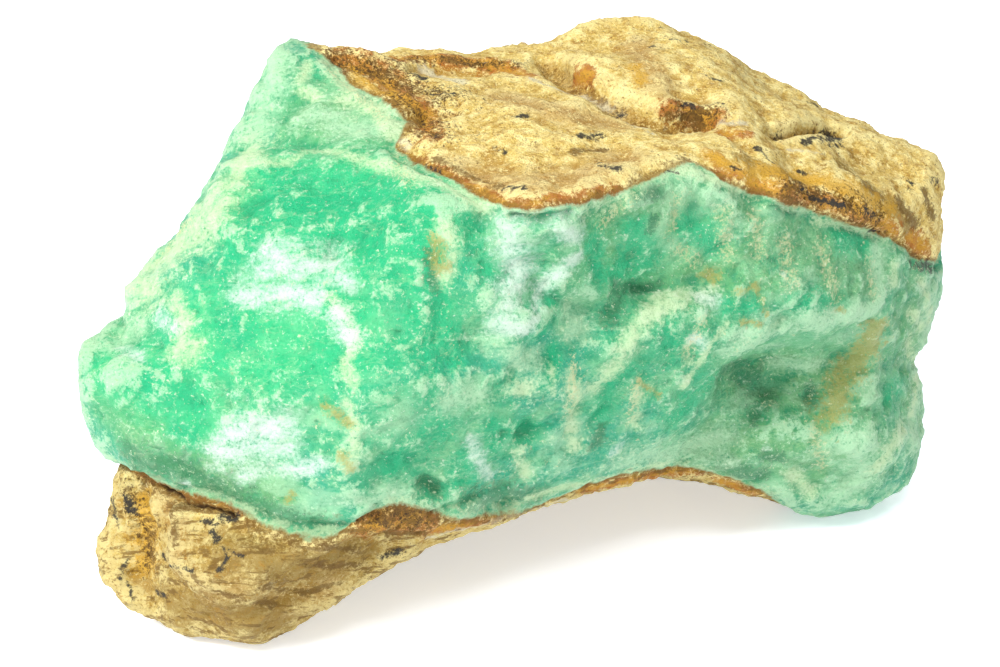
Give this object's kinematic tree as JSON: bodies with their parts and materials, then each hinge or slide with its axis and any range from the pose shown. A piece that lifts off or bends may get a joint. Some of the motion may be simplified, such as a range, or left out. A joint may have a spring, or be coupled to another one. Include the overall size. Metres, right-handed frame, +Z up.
{
  "type": "raw gemstone",
  "caption": "Angular hand-sized lump of raw green chalcedony with an ochre rind over the top and a rounded boss of host rock at one foot; a free-standing display or scenery stone.",
  "frame": {"origin": "under the middle of the stone, on the surface it stands on", "axes": "+X along the length, from the green prow to the overhanging right end; +Y to the back; +Z up"},
  "size_m": [0.108, 0.072, 0.062],
  "materials": {
    "stone": "satin"
  },
  "bodies": {
    "root": {"chrysoprase": "stone"}
  },
  "joints": []
}
